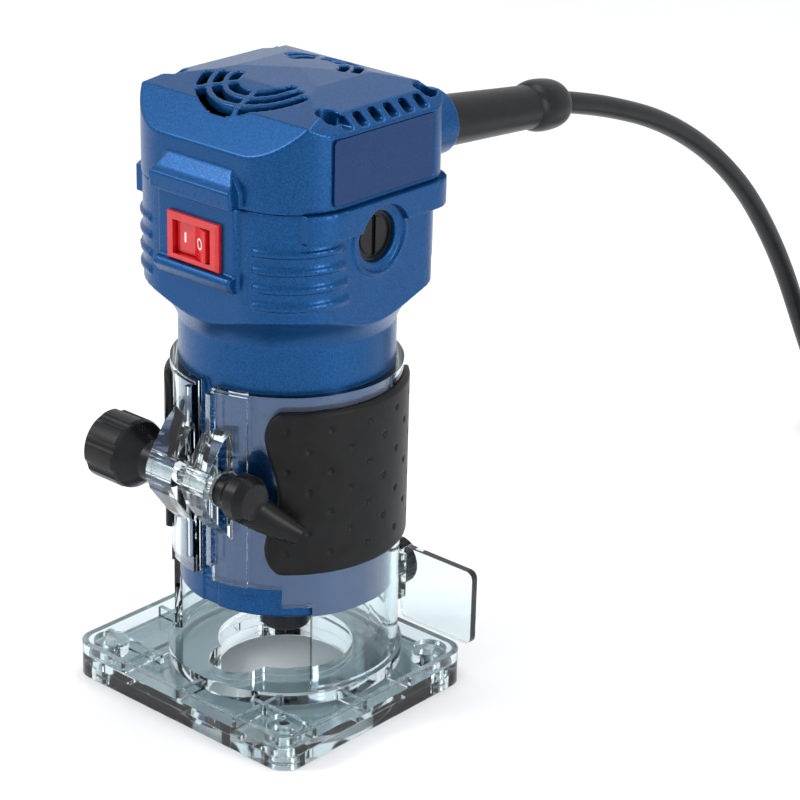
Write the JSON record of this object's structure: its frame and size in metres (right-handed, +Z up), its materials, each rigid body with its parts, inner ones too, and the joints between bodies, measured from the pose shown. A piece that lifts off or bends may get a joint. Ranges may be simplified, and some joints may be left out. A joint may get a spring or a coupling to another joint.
{
  "type": "trim router",
  "caption": "hand-held trim router: slim round motor unit with a square head and rocker switch, clamped in a clear plastic depth-setting base, with cord and plug",
  "frame": {"origin": "on the spindle axis, in the plane of the sole's underside", "axes": "+Z up along the spindle, -Y to the front with the switch, +X to the side with the name panel"},
  "size_m": [0.1553, 0.4003, 0.1932],
  "materials": {
    "housing_blue": "glass-filled nylon, fine grain with a slight metallic sparkle",
    "label_blue": "smooth printed film, plain",
    "clear_plastic": "clear injection-moulded polycarbonate",
    "grip_rubber": "satin black soft rubber with moulded dimples",
    "black_plastic": "satin black moulded nylon",
    "cord_rubber": "matt black rubber",
    "switch_red": "gloss red plastic",
    "steel": "turned and ground steel",
    "nut_black": "blackened steel",
    "copper": "enamelled copper wire",
    "lamination": "stacked electrical steel",
    "brass": "machined brass",
    "carbon": "pressed carbon",
    "fan_plastic": "grey nylon",
    "capacitor_yellow": "yellow potted case"
  },
  "bodies": {
    "base": {"base_frame": "clear_plastic", "sole_plate": "clear_plastic", "sole_screws": "steel", "grip_pad_right": "grip_rubber", "grip_pad_left": "grip_rubber", "clamp_bolt": "steel", "clamp_washer": "steel", "power_cord": "cord_rubber", "cord_coil": "cord_rubber", "cord_tie": "cord_rubber", "plug_body": "cord_rubber", "plug_pins": "brass"},
    "motor_unit": {"motor_housing": "housing_blue", "top_cover": "housing_blue", "label_panel": "label_blue", "housing_screws": "steel", "switch_body": "switch_red", "switch_pin": "steel", "stator_core": "lamination", "field_coils": "copper", "lower_bearing": "steel", "upper_bearing": "steel", "bearing_bush": "grip_rubber", "bearing_retainer": "steel", "retainer_screws": "steel", "air_baffle": "black_plastic", "brush_holders": "brass", "carbon_brushes": "carbon", "brush_springs": "steel", "brush_caps": "black_plastic", "capacitor": "capacitor_yellow", "strain_relief": "cord_rubber", "inner_lead": "cord_rubber", "cord_clamp": "black_plastic", "cord_clamp_screws": "steel"},
    "spindle": {"rotor_shaft": "steel", "rotor_core": "lamination", "rotor_windings": "copper", "commutator": "copper", "cooling_fan": "fan_plastic", "collet": "steel", "collet_nut": "nut_black"},
    "rocker": {"switch_rocker": "switch_red"},
    "depth_drive": {"depth_knob": "black_plastic", "knob_cap": "black_plastic", "pinion_shaft": "steel"},
    "lever": {"clamp_lever": "black_plastic", "lever_insert": "brass"},
    "shield": {"chip_shield": "clear_plastic"},
    "thumbscrew": {"shield_thumbscrew": "black_plastic"}
  },
  "joints": [
    {"name": "motor_slide", "type": "slide", "parent": "base", "child": "motor_unit", "axis": [0, 0, 1], "range_m": [-0.012, 0.025]},
    {"name": "spindle_spin", "type": "hinge", "parent": "motor_unit", "child": "spindle", "pos_m": [0, 0, 0.1], "axis": [0, 0, 1], "continuous": true},
    {"name": "switch_tilt", "type": "hinge", "parent": "motor_unit", "child": "rocker", "pos_m": [0, -0.0364, 0.1508], "axis": [0, 0, 1], "range_deg": [0, 22]},
    {"name": "depth_knob_turn", "type": "hinge", "parent": "base", "child": "depth_drive", "pos_m": [0, -0.0385, 0.0776], "axis": [1, 0, 0], "range_deg": [-150, 300]},
    {"name": "clamp_lever_turn", "type": "hinge", "parent": "base", "child": "lever", "pos_m": [0, -0.0385, 0.0776], "axis": [-1, 0, 0], "range_deg": [0, 110]},
    {"name": "shield_slide", "type": "slide", "parent": "base", "child": "shield", "axis": [1, 0, 0], "range_m": [-0.003, 0.004]},
    {"name": "thumbscrew_turn", "type": "hinge", "parent": "base", "child": "thumbscrew", "pos_m": [0.009, 0.042, 0.0255], "axis": [0, 1, 0], "range_deg": [0, 360]}
  ],
  "couplings": [
    {"joint": "depth_knob_turn", "follows": "motor_slide", "rad_per_m": 204.08}
  ]
}
